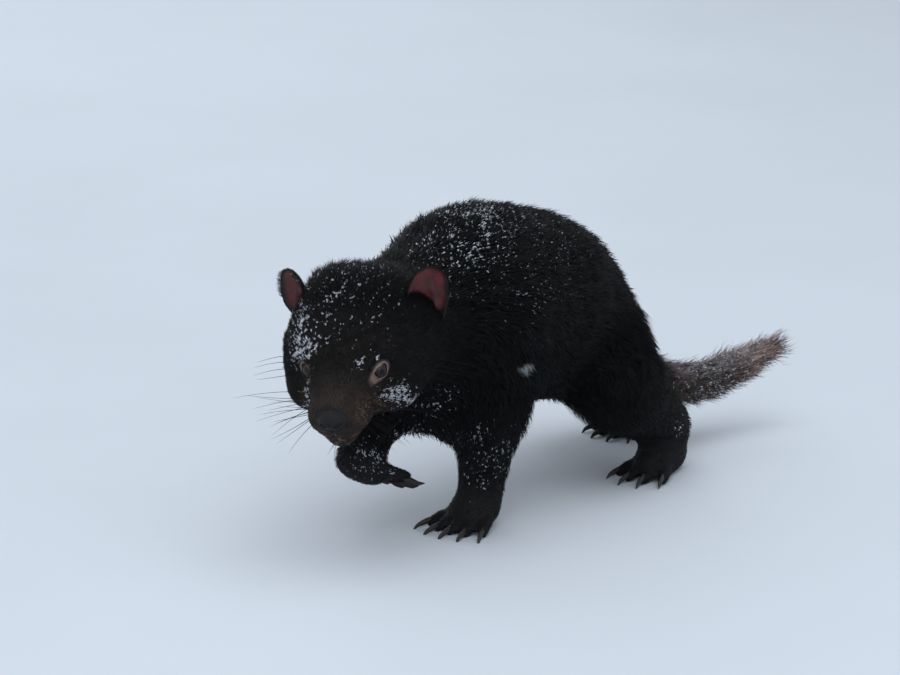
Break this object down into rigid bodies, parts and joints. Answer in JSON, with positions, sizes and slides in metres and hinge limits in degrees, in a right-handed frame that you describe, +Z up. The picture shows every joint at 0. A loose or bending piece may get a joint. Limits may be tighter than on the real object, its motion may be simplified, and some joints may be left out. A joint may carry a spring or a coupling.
{
  "type": "tasmanian devil",
  "caption": "Life-size Tasmanian devil in mid walk, head low and turned to its left, one forepaw lifted, with a dark coat and a thick bristly tail held level.",
  "frame": {"origin": "middle of the bounding box, on the floor that the feet stand on", "axes": "+X towards the head, +Y to the animal's left, +Z up"},
  "size_m": [0.7164, 0.2062, 0.2998],
  "materials": {
    "black_coat": "dense short dark fur, blackish brown",
    "tail_coat": "coarse brown bristles in overlapping locks",
    "ear_skin": "thin pinkish red skin, satin",
    "nose_skin": "moist black skin, semi-gloss",
    "eye": "wet dark brown eye, glossy",
    "claw": "dark horn, satin"
  },
  "bodies": {
    "root": {"left_eye": "eye", "right_eye": "eye", "nose": "nose_skin", "head": "black_coat", "left_ear": "ear_skin", "right_ear": "ear_skin", "neck": "black_coat", "torso": "black_coat", "left_foreleg": "black_coat", "left_forepaw": "black_coat", "left_forepaw_claw_1": "claw", "left_forepaw_claw_2": "claw", "left_forepaw_claw_3": "claw", "left_forepaw_claw_4": "claw", "left_forepaw_claw_5": "claw", "right_foreleg": "black_coat", "right_forepaw": "black_coat", "right_forepaw_claw_1": "claw", "right_forepaw_claw_2": "claw", "right_forepaw_claw_3": "claw", "right_forepaw_claw_4": "claw", "right_forepaw_claw_5": "claw", "left_hindleg": "black_coat", "left_hindpaw": "black_coat", "left_hindpaw_claw_1": "claw", "left_hindpaw_claw_2": "claw", "left_hindpaw_claw_3": "claw", "left_hindpaw_claw_4": "claw", "right_hindleg": "black_coat", "right_hindpaw": "black_coat", "right_hindpaw_claw_1": "claw", "right_hindpaw_claw_2": "claw", "right_hindpaw_claw_3": "claw", "right_hindpaw_claw_4": "claw", "tail": "tail_coat"}
  },
  "joints": []
}
